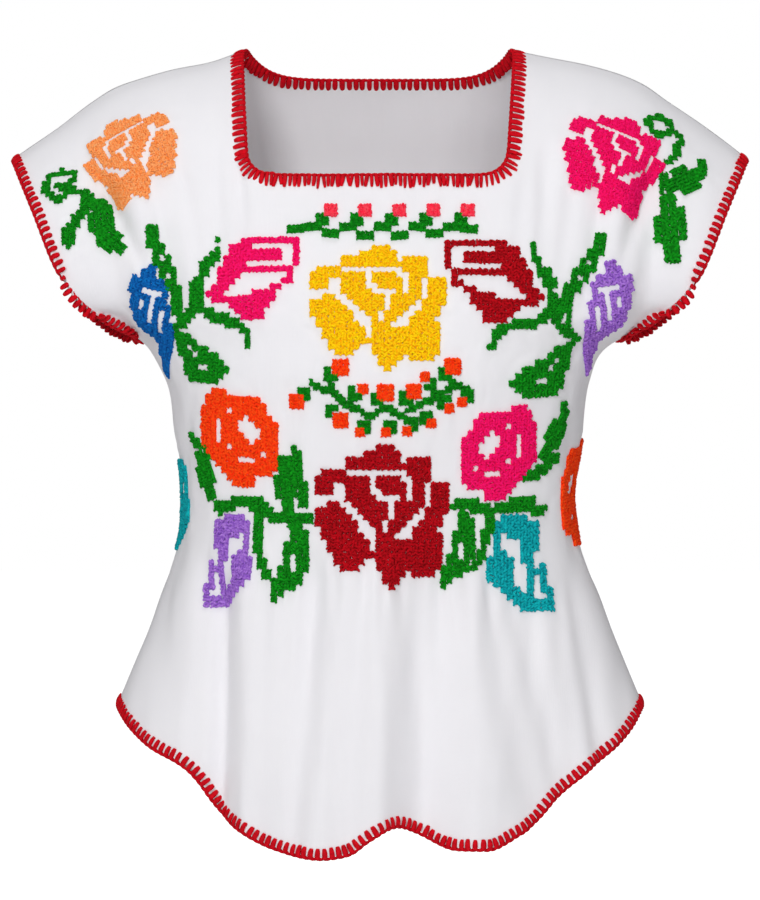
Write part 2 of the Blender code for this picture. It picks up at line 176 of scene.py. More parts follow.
def ease(value):
    """Goes softly from 0 to 1 as the value does."""
    v = np.clip(value, 0.0, 1.0)
    return v * v * (3 - 2 * v)


def finer(values, times):
    """Values with this many even steps in place of each step."""
    places = np.arange((len(values) - 1) * times + 1) / times
    return np.interp(places, np.arange(len(values)), values)


rows = finer(UPPER_ROWS + LOWER_ROWS, FINER)
half = [NECK_SHARE * c for c in NECK_COLUMNS]
half += [NECK_SHARE + (1 - NECK_SHARE) * (k + 1) / 8 for k in range(8)]
columns = finer([-c for c in reversed(half[1:])] + half, FINER)
underarm_row = (len(UPPER_ROWS) - 1) * FINER
neck_row = UPPER_ROWS.index(NECK_ROW) * FINER
middle_column = len(columns) // 2
neck_right = middle_column - (len(NECK_COLUMNS) - 1) * FINER
neck_left = middle_column + (len(NECK_COLUMNS) - 1) * FINER


def panel_form(face):
    """The outer face of a panel before its folds, as a grid of points in mm, and how freely each may fold."""
    across, row = np.meshgrid(columns, rows)
    side, part = np.where(across < 0, -1.0, 1.0), np.abs(across)
    turn = part * math.pi / 2
    under_neck = np.minimum(part / NECK_SHARE, 1)

    up = np.minimum(row, 1)
    end_out, end_height = smooth(CUFF, 1)(up), smooth(CUFF, 2)(up)
    end_depth = smooth(CUFF, 3 if face == FRONT else 4)(up)
    to_neck = np.minimum(up / NECK_ROW, 1)
    top, low = np.where(side < 0, *NECK_HALF_WIDTH), np.where(side < 0, *NECK_HALF_WIDTH_LOW)
    neck = top + (low - top) * to_neck
    straight = neck * under_neck + (end_out - neck) * np.maximum(part - NECK_SHARE, 0) / (1 - NECK_SHARE)
    blend = ease((up - NECK_ROW) / (1 - NECK_ROW))
    upper_x = straight + (end_out * np.sin(turn) - straight) * blend
    out_share = np.maximum(upper_x - neck, 0) / (end_out - neck)
    drops = [smooth(SHOULDER, column)(out_share) for column in (1, 2)]
    drop = np.where(side < 0, *drops) / TIP_DROP
    height = UNDERARM * up
    bulge = 0.0
    if face == BACK:
        height = height - BACK_NECK_DROP * (1 - under_neck**7) * (1 - to_neck) ** 1.5
        bulge = 20 * (1 - under_neck**4) * (1 - up) ** 2
    upper_z = height + (end_height - height) * drop
    middle_depth = smooth(UPPER_DEPTH, 1 if face == FRONT else 2)(np.minimum(height / UNDERARM, 1))
    round_off = np.maximum(np.cos(turn), 0) ** 0.75
    upper_depth = end_depth + (middle_depth - end_depth) * round_off + bulge
    upper_calm = ease(up / 0.2) * ease((1 - part) / 0.06 + (1 - up) * 2)

    down = np.maximum(row - 1, 0)
    side_height = UNDERARM + (SIDE_HEM - UNDERARM) * down
    out = np.where(side < 0, *[smooth(BODY_WIDTH, column)(side_height) for column in (1, 2)])
    lower_x = out * np.sin(turn)
    foot = smooth(FRONT_HEM if face == FRONT else BACK_HEM, 1)(side * HEM_HALF_WIDTH * np.sin(turn))
    lower_z = UNDERARM + (foot - UNDERARM) * down
    lower_depth = smooth(BODY_DEPTH, 1 if face == FRONT else 2)(lower_z) * round_off
    lower_calm = ease((1 - part) / 0.16)

    upper = row <= 1
    x = side * np.where(upper, upper_x, lower_x)
    z = np.where(upper, upper_z, lower_z)
    depth = np.maximum(np.where(upper, upper_depth, lower_depth), SEAM_GAP / 2)
    points = np.stack([x, face * depth, z], axis=2)
    for _ in range(30):  # eases the joins between rows, inside the edges
        points[1:-1, 1:-1] += 0.5 * (
            (points[:-2, 1:-1] + points[2:, 1:-1] + points[1:-1, :-2] + points[1:-1, 2:]) / 4
            - points[1:-1, 1:-1]
        )
    return points, np.where(upper, upper_calm, lower_calm)


def fold_push(folds, x, z):
    """How far a set of folds pushes the cloth inwards at each place."""
    push = np.zeros_like(x)
    for top_x, top_z, foot_x, foot_z, half_width, top, foot in folds:
        length = top_z - foot_z
        along = (top_z - z) / length
        fade = ease(1 + along * length / 45)
        if foot_z > -500 or abs(top) > abs(foot):
            fade = fade * ease(1 - (along - 1) * length / 40)
        centre = top_x + (foot_x - top_x) * along
        deep = (top + (foot - top) * np.clip(along, 0, 1)) * fade
        push += deep * np.exp(-(((x - centre) / half_width) ** 2))
    return push


def unit(vectors):
    """The same directions, 1 long."""
    return vectors / np.maximum(np.linalg.norm(vectors, axis=-1, keepdims=True), 1e-12)


def outward(points, face):
    """The direction outwards at each point of a panel."""
    n = unit(np.cross(np.gradient(points, axis=1), np.gradient(points, axis=0)))
    if n[underarm_row, middle_column, 1] * face < 0:
        n = -n
    return n


def square_to_seam(line, away):
    """The directions square to a seam in its own plane, towards the given side."""
    run = np.gradient(line, axis=0)
    square = unit(np.stack([run[:, 2], 0 * run[:, 0], -run[:, 0]], axis=1))
    return square * np.where(square @ away < 0, -1.0, 1.0)[:, None]


neck_arcs = {}  # the middle of the round corner, for each place of the neck's edge that lies on one


def round_neck_corners(points):
    """Draws the edge of the square neck round each lower corner."""
    for corner, step in ((neck_right, 1), (neck_left, -1)):
        at = points[neck_row, corner].copy()
        up = unit(points[neck_row - 8, corner] - at)
        along = unit(points[neck_row, corner + 8 * step] - at)
        centre = at + NECK_CORNER_RADIUS * (up + along)
        sides = [(neck_row - k, corner, up, along) for k in range(22)]
        sides += [(neck_row, corner + k * step, along, up) for k in range(1, 22)]
        for i, j, own, other in sides:
            far = np.linalg.norm(points[i, j] - at)
            if far < NECK_CORNER_RADIUS:
                angle = math.pi / 4 * (1 - far / NECK_CORNER_RADIUS)
                points[i, j] = centre - NECK_CORNER_RADIUS * (math.cos(angle) * other + math.sin(angle) * own)
                neck_arcs[i, j] = centre


def panel_grid(face):
    """The finished outer face of a panel and the direction outwards at each point."""
    points, calm = panel_form(face)
    x, z = points[..., 0], points[..., 2]
    push = fold_push(FRONT_FOLDS if face == FRONT else BACK_FOLDS, x, z)
    push += fold_push(FRONT_CREASES if face == FRONT else BACK_CREASES, x, z)

    def uneven(wide, high, own):
        """Soft dents about this wide and high, in mm."""
        dents = [noise.noise(Vector((a / wide, b / high, face * own))) for a, b in zip(x.flat, z.flat)]
        return np.array(dents).reshape(x.shape)

    below_waist = ease((-400 - z) / 60)
    push += 1.6 * uneven(70, 90, 3.0) + (0.6 + 0.7 * below_waist) * uneven(13, 75, 7.0)
    points += outward(points, face) * (-push * calm)[..., None]
    n = outward(points, face)
    n[0] = square_to_seam(points[0], np.array([0, 0, 1.0]))
    for j, away in ((0, -1.0), (-1, 1.0)):
        n[underarm_row:, j] = square_to_seam(points[underarm_row:, j], np.array([away, 0, -0.3]))
    if face == BACK:
        n[0, neck_right + 1 : neck_left] = n[1, neck_right + 1 : neck_left]
    cuff = slice(0, underarm_row)
    for j, inner in ((0, 1), (-1, -2)):
        points[cuff, j] += EDGE_SETBACK * unit(points[cuff, inner] - points[cuff, j])
        points[underarm_row, j] += EDGE_SETBACK * unit(points[underarm_row + 2, j] - points[underarm_row, j])
    points[-1] += EDGE_SETBACK * unit(points[-2] - points[-1])
    if face == FRONT:
        round_neck_corners(points)
    return points, n


def panel_mesh(name, face, points, n):
    """A panel as a closed thin shell in metres, with a UV map in metres along the cloth."""
    below = points - CLOTH * n
    steps = np.linalg.norm(np.diff(points, axis=1), axis=2)
    across = np.concatenate([np.zeros((len(rows), 1)), np.cumsum(steps, 1)], 1)
    across -= across[:, middle_column : middle_column + 1]
    steps = np.linalg.norm(np.diff(points[:, middle_column], axis=0), axis=1)
    down = np.concatenate([[0], np.cumsum(steps)])
    vertices, uvs, directions, number, faces, rims = [], [], [], {}, [], {}

    def corner(place, skin):
        if (place, skin) not in number:
            number[place, skin] = len(vertices)
            vertices.append((points, below)[skin][place] * MM)
            uvs.append((across[place] * MM, down[place[0]] * MM))
            directions.append(n[place])
        return number[place, skin]

    for i in range(len(rows) - 1):
        for j in range(len(columns) - 1):
            if face == FRONT and i < neck_row and neck_right <= j < neck_left:
                continue
            around = [(i, j), (i, j + 1), (i + 1, j + 1), (i + 1, j)]
            if face == FRONT:
                around.reverse()
            faces.append([corner(c, 0) for c in around])
            faces.append([corner(c, 1) for c in reversed(around)])
            for k in range(4):
                a, b = around[k], around[(k + 1) % 4]
                if (b, a) in rims:
                    del rims[b, a]
                else:
                    rims[a, b] = True
    faces += [[corner(b, 0), corner(a, 0), corner(a, 1), corner(b, 1)] for a, b in rims]
    mesh = bpy.data.meshes.new(name)
    mesh.from_pydata([tuple(v) for v in vertices], [], faces)
    layer = mesh.uv_layers.new(name="UVMap")
    order = np.zeros(len(mesh.loops), int)
    mesh.loops.foreach_get("vertex_index", order)
    layer.data.foreach_set("uv", np.array(uvs)[order].ravel())
    mesh.polygons.foreach_set("use_smooth", [True] * len(mesh.polygons))
    made = bpy.data.objects.new(name, mesh)
    bpy.context.scene.collection.objects.link(made)
    return made, np.array(directions)


def add(tree, kind, inputs=(), **settings):
    """A node with its settings and inputs: each a value, a node's output, or a node for its first output."""
    made = tree.nodes.new(kind)
    for key, value in settings.items():
        setattr(made, key, value)
    for key, value in dict(inputs).items():
        if isinstance(value, bpy.types.Node):
            value = value.outputs[0]
        if isinstance(value, bpy.types.NodeSocket):
            tree.links.new(value, made.inputs[key])
        else:
            made.inputs[key].default_value = value
    return made


def maths(tree, operation, *values):
    return add(tree, "ShaderNodeMath", enumerate(values), operation=operation)


def new_material(name, **surface):
    made = bpy.data.materials.new(name)
    made.use_nodes = True
    shader = made.node_tree.nodes["Principled BSDF"]
    for socket, value in surface.items():
        shader.inputs[socket.replace("_", " ")].default_value = value
    return made, made.node_tree, shader


def cotton_material():
    """Fine plain weave: thread over thread along the cut, small slubs, a soft nap and a faint mottle."""
    nap = {"Roughness": 0.93, "Sheen_Weight": 0.12, "Sheen_Roughness": 0.6}
    made, tree, shader = new_material("white_cotton_weave", **nap)
    uv = add(tree, "ShaderNodeUVMap", uv_map="UVMap")
    thread = {"Vector": uv, "Scale": 330.0, "Distortion": 0.6, "Detail": 1.0, "Detail Scale": 2.0}
    warp, weft = [add(tree, "ShaderNodeTexWave", thread, bands_direction=way).outputs[1] for way in "XY"]
    weave = maths(tree, "ADD", warp, weft)
    stretched = add(tree, "ShaderNodeMapping", {"Vector": uv, "Scale": (700.0, 90.0, 1.0)})
    slubs = add(tree, "ShaderNodeTexNoise", {"Vector": stretched, "Scale": 1.0, "Detail": 2.0})
    place = add(tree, "ShaderNodeTexCoord").outputs["Object"]
    patches = {"Vector": place, "Scale": 22.0, "Detail": 4.0, "Roughness": 0.6}
    mottle = add(tree, "ShaderNodeTexNoise", patches)
    shades = {"Factor": mottle, "A": (0.835, 0.825, 0.86, 1), "B": (0.88, 0.87, 0.90, 1)}
    tint = add(tree, "ShaderNodeMix", shades, data_type="RGBA")
    low = add(tree, "ShaderNodeBump", {"Height": weave, "Strength": 0.10, "Distance": 0.0003})
    high = add(tree, "ShaderNodeBump", {"Height": slubs, "Strength": 0.12, "Distance": 0.0006, "Normal": low})
    tree.links.new(tint.outputs[2], shader.inputs["Base Color"])
    tree.links.new(high.outputs[0], shader.inputs["Normal"])
    return made


cotton = cotton_material()
front_points, front_out = panel_grid(FRONT)
back_points, back_out = panel_grid(BACK)
front_cloth, front_ways = panel_mesh("front_cloth", FRONT, front_points, front_out)
back_cloth, back_ways = panel_mesh("back_cloth", BACK, back_points, back_out)
for cloth, node in ((front_cloth, "front_panel"), (back_cloth, "back_panel")):
    cloth.data.materials.append(cotton)
    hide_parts(node)
    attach(cloth, "root")

# The yarn edge of the neck, both cuffs and the hem: red cotton yarn worked in blanket stitch over the cut
# edge. Each stitch lies on the outside, turns over the edge and lies on the inside, and the loops that
# join them make a rope along the edge.
YARN_THICK = 1.15  # mm, half the height of a stitch above the cloth
ROPE_THICK = 1.5  # half the thickness of the rope
ROPE_OUT = 1.6  # the rope's middle, out from the cloth's edge
ROPE_STEP = 0.0014  # m, along the rope
NECK_FOOT = -84  # below this height the neck's stitches lie closer, in front


def edge_loop(front, back):
    """A closed run of a front edge and the back edge that closes it, in rows of point, outward, inside."""
    front, back = np.array(front), np.array(back)
    first, last = (front[0] + back[0]) / 2, (front[-1] + back[-1]) / 2
    return np.concatenate([[first], front[1:-1], [last], back[-2:0:-1]])


def edge_rows(points, n, places, insides):
    """The middle of the cloth's thickness, the way outwards and a point inside the edge, at each place."""
    return [np.stack([points[p] - n[p] * CLOTH / 2, n[p], points[q]]) for p, q in zip(places, insides)]


def stitch_places(loop, spacing, close, seed, lean, droop):
    """For each stitch along a closed run: point, outward, inward, and whether they lie close there."""
    ring = np.concatenate([loop, loop[:1]])
    length = np.linalg.norm(np.diff(ring[:, 0], axis=0), axis=1)
    middles = (ring[1:, 0] + ring[:-1, 0]) / 2
    tight = (middles[:, 1] < 0) & (middles[:, 2] < NECK_FOOT) & (close < spacing)
    far = np.concatenate([[0], np.cumsum(length / np.where(tight, close, spacing))])
    count = round(far[-1])
    random = np.random.default_rng(seed)
    at = (np.arange(count) + 0.5 + random.uniform(-0.07, 0.07, count)) / count * far[-1]
    flat = ring.reshape(len(ring), 9)
    mid = np.stack([np.interp(at, far, flat[:, k]) for k in range(9)], 1).reshape(-1, 3, 3)
    run = unit(np.roll(mid[:, 0], -1, axis=0) - np.roll(mid[:, 0], 1, axis=0))
    inward = mid[:, 2] - mid[:, 0]
    inward = unit(inward - run * (inward * run).sum(1, keepdims=True))
    out = mid[:, 1] - run * (mid[:, 1] * run).sum(1, keepdims=True)
    out = unit(out - inward * (out * inward).sum(1, keepdims=True))
    near = np.interp(at, far[1:] - 0.5 * np.diff(far), tight.astype(float)) > 0.5
    turned = random.normal(0, 1, (count, 1)) * np.where(near, 3.2 * lean, lean)[:, None]
    inward = inward * np.cos(turned) + run * np.sin(turned)
    inward[:, 2] -= droop * np.abs(inward[:, 0])
    inward[:, 0] *= np.where((mid[:, 0, 1] > 8) & (droop > 0), 0.35, 1)  # on the nape they hang straight down
    return mid[:, 0], out, unit(inward), near


def point_mesh(name, points, ring=False, **attributes):
    """Points with their attributes, joined into a ring if asked."""
    count = len(points)
    mesh = bpy.data.meshes.new(name)
    mesh.from_pydata([tuple(p * MM) for p in points], [(k, (k + 1) % count) for k in range(count * ring)], [])
    for key, values in attributes.items():
        values = np.asarray(values, float)
        made = mesh.attributes.new(key, "FLOAT_VECTOR" if values.ndim == 2 else "FLOAT", "POINT")
        made.data.foreach_set("vector" if values.ndim == 2 else "value", values.ravel())
    made = bpy.data.objects.new(name, mesh)
    bpy.context.scene.collection.objects.link(made)
    return made


def new_tree(name, sizes):
    """An empty Geometry Nodes tree with named size inputs, those inputs and its output node."""
    tree = bpy.data.node_groups.new(name, "GeometryNodeTree")
    tree.interface.new_socket("Points", in_out="INPUT", socket_type="NodeSocketGeometry")
    for label, kind in sizes:
        tree.interface.new_socket(label, in_out="INPUT", socket_type="NodeSocket" + kind)
    tree.interface.new_socket("Mesh", in_out="OUTPUT", socket_type="NodeSocketGeometry")
    return tree, add(tree, "NodeGroupInput").outputs, add(tree, "NodeGroupOutput")


def grown(piece, tree, sizes):
    """Runs a tree on a piece with these sizes and keeps the result as its plain mesh."""
    modifier = piece.modifiers.new(tree.name, "NODES")
    modifier.node_group = tree
    for item in tree.interface.items_tree:
        if item.in_out == "INPUT" and item.name in sizes:
            modifier[item.identifier] = sizes[item.name]
    graph = bpy.context.evaluated_depsgraph_get()
    mesh = bpy.data.meshes.new_from_object(piece.evaluated_get(graph))
    piece.modifiers.remove(modifier)
    piece.data = mesh
    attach(piece, "root")


def facing(tree, first, second):
    """A turn that lays local X along the first direction and local Z as near as it can to the second."""
    level = add(tree, "FunctionNodeAlignRotationToVector", {"Vector": first}, axis="X")
    both = {"Rotation": level, "Vector": second}
    return add(tree, "FunctionNodeAlignRotationToVector", both, axis="Z", pivot_axis="X")


def named(tree, name, kind="FLOAT_VECTOR"):
    return add(tree, "GeometryNodeInputNamedAttribute", {"Name": name}, data_type=kind)


def joined(tree, parts):
    whole = add(tree, "GeometryNodeJoinGeometry")
    for part in parts:
        tree.links.new(part.outputs[0], whole.inputs[0])
    return whole


def give_out(tree, parts, material, result):
    """Ends a tree: its parts as one real smooth mesh of this material."""
    real = add(tree, "GeometryNodeRealizeInstances", {"Geometry": joined(tree, parts)})
    soft = add(tree, "GeometryNodeSetShadeSmooth", {"Geometry": real})
    done = add(tree, "GeometryNodeSetMaterial", {"Geometry": soft, "Material": material})
    tree.links.new(done.outputs[0], result.inputs[0])


def swept(tree, path, outline, swell):
    """A strand along a path, thin at its ends."""
    sizes = {"Curve": path, "Profile Curve": outline, "Fill Caps": True, "Scale": swell}
    return add(tree, "GeometryNodeCurveToMesh", sizes)


def blanket_tree():
    """On each point a plump stitch outside and one inside, local X inward and Z outward, and along all the
    points a rope of two strands, which turns once for two stitches."""
    lengths = ("Reach", "Thickness", "Width", "Rope", "Rope out", "Rope twist")
    sockets = [(length, "Float") for length in lengths] + [("Yarn", "Material")]
    tree, size, result = new_tree("Blanket stitches", sockets)

    def times(value, factor, plus=0.0):
        return maths(tree, "MULTIPLY_ADD", value, factor, plus)

    ring = add(tree, "GeometryNodeCurvePrimitiveCircle", {"Resolution": 7, "Radius": size["Thickness"]})
    along = add(tree, "GeometryNodeSplineParameter")
    swell = maths(tree, "POWER", maths(tree, "SINE", times(along, 0.64 * math.pi, 0.09 * math.pi)), 0.38)
    stitch = []
    for side in (1, -1):
        parts = {}
        for key, x_share, x_add, z_share in (
            ("Start", 1.0, 0.0, 0.35), ("Start Handle", 0.66, 0.0, 1.25),
            ("End Handle", 0.0, 0.0010, 1.35), ("End", 0.0, -0.0015, 0.45),
        ):
            place = {0: times(size["Reach"], x_share, x_add), 2: times(size["Thickness"], side * z_share)}
            parts[key] = add(tree, "ShaderNodeCombineXYZ", place)
        path = add(tree, "GeometryNodeCurvePrimitiveBezierSegment", {"Resolution": 6, **parts})
        run = add(tree, "GeometryNodeResampleCurve", {"Curve": path}, mode="EVALUATED")
        stitch.append(swept(tree, run, ring, swell))
    stretch = add(tree, "ShaderNodeCombineXYZ", {0: 1.0, 1: size["Width"], 2: 1.0})
    broad = add(tree, "GeometryNodeTransform", {"Geometry": joined(tree, stitch), "Scale": stretch})
    inward = named(tree, "inward")
    laid = {
        "Points": size["Points"], "Instance": broad, "Scale": named(tree, "size"),
        "Rotation": facing(tree, inward, named(tree, "outward")),
    }
    stitches = add(tree, "GeometryNodeInstanceOnPoints", laid)

    loop = add(tree, "GeometryNodeMeshToCurve", {"Mesh": size["Points"]})
    back = {"Vector": inward, "Scale": times(size["Rope out"], -1.0)}
    away = add(tree, "ShaderNodeVectorMath", back, operation="SCALE")
    beside = add(tree, "GeometryNodeSetPosition", {"Geometry": loop, "Offset": away})
    rounded = add(tree, "GeometryNodeCurveSplineType", {"Curve": beside}, spline_type="CATMULL_ROM")
    fine = add(tree, "GeometryNodeResampleCurve", {"Curve": rounded, "Length": ROPE_STEP}, mode="LENGTH")
    turn = maths(tree, "MULTIPLY", along, size["Rope twist"])
    twisted = add(tree, "GeometryNodeSetCurveTilt", {"Curve": fine, "Tilt": turn})
    ply = {"Resolution": 6, "Radius": times(size["Rope"], 0.66)}
    strand = add(tree, "GeometryNodeCurvePrimitiveCircle", ply)
    pair = []
    for side in (1, -1):
        shift = add(tree, "ShaderNodeCombineXYZ", {0: times(size["Rope"], 0.36 * side)})
        pair.append(add(tree, "GeometryNodeTransform", {"Geometry": strand, "Translation": shift}))
    rope = add(tree, "GeometryNodeCurveToMesh", {"Curve": twisted, "Profile Curve": joined(tree, pair)})
    give_out(tree, (stitches, rope), size["Yarn"], result)
    return tree


def yarn_material(name, dark, light, roughness):
    """Soft spun yarn: its shaded and its lit colour, painted shade and painted highlight, mixed in a mottle
    from strand to strand, fine fibres raised on it and a soft sheen.
    """
    made, tree, shader = new_material(name, Roughness=roughness, Sheen_Weight=0.04, Sheen_Roughness=0.5)
    shader.inputs["Specular IOR Level"].default_value = 0.15
    shader.inputs["Sheen Tint"].default_value = (*light, 1)
    place = add(tree, "ShaderNodeTexCoord").outputs["Object"]
    # Painted shade and painted highlight: the yarn's shaded and lit colour, mixed at random over the strands.
    patch = add(tree, "ShaderNodeTexNoise", {"Vector": place, "Scale": 420.0, "Detail": 2.0})
    spread = add(tree, "ShaderNodeMapRange", {0: patch, 1: 0.32, 2: 0.68})
    shades = {"Factor": spread, "A": (*dark, 1), "B": (*light, 1)}
    tint = add(tree, "ShaderNodeMix", shades, data_type="RGBA")
    fibre = add(tree, "ShaderNodeTexNoise", {"Vector": place, "Scale": 2600.0, "Detail": 3.0})
    rough = add(tree, "ShaderNodeBump", {"Height": fibre, "Strength": 0.35, "Distance": 0.0004})
    tree.links.new(tint.outputs[2], shader.inputs["Base Color"])
    tree.links.new(rough.outputs[0], shader.inputs["Normal"])
    return made


# The two reds are the edge yarn's shaded and its lit colour: painted shade and painted highlight.
red_edge = yarn_material("red_edge_yarn", (0.47, 0.0, 0.006), (0.72, 0.0, 0.010), 0.82)
blanket = blanket_tree()
last = len(columns) - 1


def neck_places(inside):
    """Down the right side of the front neck, along its foot and up its left side, this far into the cloth."""
    down = [(i, neck_right - inside) for i in range(neck_row)]
    foot = [(neck_row + inside, j) for j in range(neck_right, neck_left + 1)]
    return down + foot + [(i, neck_left + inside) for i in range(neck_row - 1, -1, -1)]


neck_run = neck_places(0)
neck_rows = edge_rows(front_points, front_out, neck_run, neck_places(2))
for row, place in zip(neck_rows, neck_run):  # round the corners the stitches fan out
    if place in neck_arcs:
        row[2] = 2 * row[0] - neck_arcs[place]
nape_run, nape_inside = [[(i, j) for j in range(neck_right, neck_left + 1)] for i in (0, 2)]
nape_inside[0], nape_inside[-1] = (0, neck_right - 2), (0, neck_left + 2)
neck_loop = edge_loop(neck_rows, edge_rows(back_points, back_out, nape_run, nape_inside))
hem_run, hem_inside = [[(len(rows) - from_end, j) for j in range(last + 1)] for from_end in (1, 3)]


def whole_loop(run, inside):
    front = edge_rows(front_points, front_out, run, inside)
    return edge_loop(front, edge_rows(back_points, back_out, run, inside))


def cuff_loop(edge, step):
    inside = [(i, edge + step) for i in range(underarm_row)] + [(underarm_row + 3, edge)]
    return whole_loop([(i, edge) for i in range(underarm_row + 1)], inside)


# Piece, node it stands for, run, spacing, closer spacing along the foot of the neck, reach, width for its
# height, lean, droop of the sides' inner ends, seed.
EDGINGS = [
    ("neck_blanket_stitch", "neck_edging", neck_loop, 5.4, 3.7, 8.4, 2.0, 0.035, 0.13, 11),
    ("cuff_blanket_stitch_right", "cuff_edging_right", cuff_loop(0, 1), 5.9, 5.9, 6.2, 1.8, 0.035, 0, 12),
    ("cuff_blanket_stitch_left", "cuff_edging_left", cuff_loop(last, -1), 5.9, 5.9, 6.2, 1.8, 0.035, 0, 13),
    ("hem_blanket_stitch", "hem_edging", whole_loop(hem_run, hem_inside), 5.6, 5.6, 6.6, 1.9, 0.035, 0, 14),
]
for name, node, loop, spacing, close, reach, width, lean, droop, seed in EDGINGS:
    places, out, inward, near = stitch_places(loop, spacing, close, seed, lean, droop)
    random = np.random.default_rng(seed + 100)
    uneven = random.normal(0, 1, (len(places), 2)) * np.where(near, 2.0, 1.0)[:, None]
    size = np.stack([1 + 0.045 * uneven[:, 0], 1 + 0.05 * uneven[:, 1] - 0.27 * near, 1 + 0 * near], 1)
    piece = point_mesh(name, places, ring=True, outward=out, inward=inward, size=size)
    sizes = {
        "Reach": reach * MM, "Thickness": YARN_THICK * MM, "Width": width, "Rope": ROPE_THICK * MM,
        "Rope out": ROPE_OUT * MM, "Rope twist": len(places) * math.pi, "Yarn": red_edge,
    }
    grown(piece, blanket, sizes)
    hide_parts(node)

# The embroidery: garden flowers, leaves and vines in thick soft wool over the whole front and the sleeves,
# worked through the cloth in crossed stitches on a square count, so that every outline climbs in small
# steps. The flowers are ordinary folk roses, buds and tulips, charted after the sewn ones.
STITCH = 4.7  # mm from one crossed stitch to the next
PIXEL = 0.79  # mm of the blouse in a pixel of the photograph, which places each flower

# Each design in stitches from its middle, x to the right and y up: whole patches, lines, and the bare
# channels (gap) and windows (hole) left in them. A line or gap has its width first. Each stitch of the
# square count whose middle lies within is worked.
ROSE = [
    ("patch", (-11, 5), (-10, 7), (-6, 7), (-6, 9), (-3, 9), (-3, 10), (-1, 10), (-1, 11), (2, 11),
     (2, 10), (3, 10), (3.1, 8), (4, 9), (8, 9), (8, 5), (10, 5), (11.1, 4), (11, 1), (10, -1), (9.1, -3),
     (10, -4), (10, -8), (9, -10), (6, -10), (4, -9), (3, -11), (1, -12), (-2, -6), (-4, -9), (-6, -9),
     (-8, -7), (-11, -1), (-11, 1), (-9, 1), (-11, 3.1)),
    ("gap", 1, (-5.5, 6.5), (2, 6.5)),
    ("gap", 1, (3.5, 6), (3.5, 6)),
    ("gap", 1, (-12, 2), (-7, 2.2)),
    ("gap", 1.5, (-7, 4.5), (-7, 2.4), (-1.8, -3.2)),
    ("gap", 1, (-2, 6), (-1.5, 4), (-0.5, 3.5), (0, 2), (0, 2.5)),
    ("gap", 1, (4, 6), (4, 6), (4.5, 2.5)),
    ("gap", 1, (2, 2.5), (2, 2), (1.5, 0)),
    ("gap", 1, (0.5, -2), (0.5, -2.5)),
    ("gap", 1, (7.5, 4), (7.5, 2)),
    ("gap", 1.4, (6.5, 0), (4, -3)),
    ("gap", 1, (2.5, -3.5), (2.5, -3.5)),
    ("gap", 1, (-1.5, -4), (-1.5, -5.5)),
]
BUD = [
    ("patch", (-4, 6), (0, 7), (8, 7), (8, 2), (7, 2), (7, -0.5), (4.5, -2), (1.5, -7), (-2, -7), (-4, -4),
     (-7.6, -3.4), (-7.4, -1), (-6, -0.5), (-6, 2), (-4.8, 3)),
    ("hole", (0, 6), (7, 6), (7, 2), (-1, 2), (-1, 3), (5, 3), (5, 5), (0, 5)),
    ("hole", (-2, 1), (6, 1), (5, -1), (-1, -3), (-5, -3)),
]
CUP = [
    ("patch", (-3, 7), (0.5, 8), (4, 7.2), (4, 2.5), (5, 0), (5, -3), (-0.5, -8), (-5, -8), (-4.7, -5),
     (-3, 2)),
    ("hole", (0, 3.1), (2.2, 5), (3, 5), (3, 3), (1.1, 1), (1, -3), (0, -4.5), (-1, -6), (-0.9, -2)),
    ("gap", 0.9, (-2, 2), (-2.5, -1)),
    ("gap", 1, (-2.5, -3), (-3, -5.5)),
]
TULIP = [
    ("patch", (0.5, 10), (2.5, 9.5), (3, 7), (5, 7), (5, 5), (4, 3), (4.4, 1.6), (-1.5, -5), (-2.5, -8),
     (-3, -12), (-5, -12), (-5, 0), (-2.5, 7), (-1, 8), (0, 8)),
    ("hole", (-2, 6), (2, 6), (2, 5), (-2, 5)),
    ("gap", 1, (-2.5, 2), (-2.5, -1.5)),
    ("gap", 1, (-0.5, 4), (-0.5, 1)),
    ("gap", 1, (1.5, 3.5), (1.5, 2.5)),
]
ROUND_ROSE = [
    ("patch", (-7, 4), (-5, 8), (-2, 8), (-1, 7), (4, 7), (5, 4.5), (7, 3), (7, -4), (6, -6), (3, -6),
     (3, -8), (-1, -8), (-2.5, -6), (-7, -2)),
    ("hole", (0, 3), (2, 4), (4, 1), (3, -1), (0, 1)),
    ("gap", 1, (-3.5, 2), (-3.5, 0)),
    ("gap", 1, (-1.5, 4.5), (-1.5, 4.5)),
    ("gap", 1, (-1.5, -1.5), (-1.5, -1.5)),
    ("gap", 1, (0.5, -3.5), (2, -3.5)),
    ("gap", 1, (4.5, -2.5), (4.5, -2.5)),
]
HOLED_LEAF = [
    ("patch", (-5, 4), (-2, 4), (-1, 2.6), (3, 0.2), (5, -1), (4, -3), (2, -4), (-3, -4), (-4, -2),
     (-5, 2)),
    ("gap", 1, (-2.5, 1.5), (-2.5, 1.5)),
    ("gap", 1, (-1.5, 0.5), (-1.5, 0.5)),
    ("gap", 1, (0, -1.5), (0, -2)),
]
LONG_LEAF = [
    ("patch", (-3, 8), (-2, 8.1), (-1, 7), (-1, 5), (0, 5), (0, 3), (1, 3), (1, 1), (2, 1), (2.1, -2),
     (3, -3), (3, -8), (2, -8), (1, -6), (1, -3), (0, -2), (-2, 2), (-2, 4), (-3, 5)),
    ("gap", 1, (-0.5, 2.5), (-0.5, 2.5)),
    ("gap", 1, (0.5, -0.5), (0.5, -0.5)),
]
SPLIT_LEAF = [
    ("patch", (0, 6.6), (3.1, 4.5), (3, -1), (2, -4), (-1, -5.5), (-2, -7), (-3, -6), (-2.5, -3),
     (-1.2, -1), (-1, 3), (0.2, 4)),
    ("gap", 0.9, (0, 1), (0.5, -2)),
]
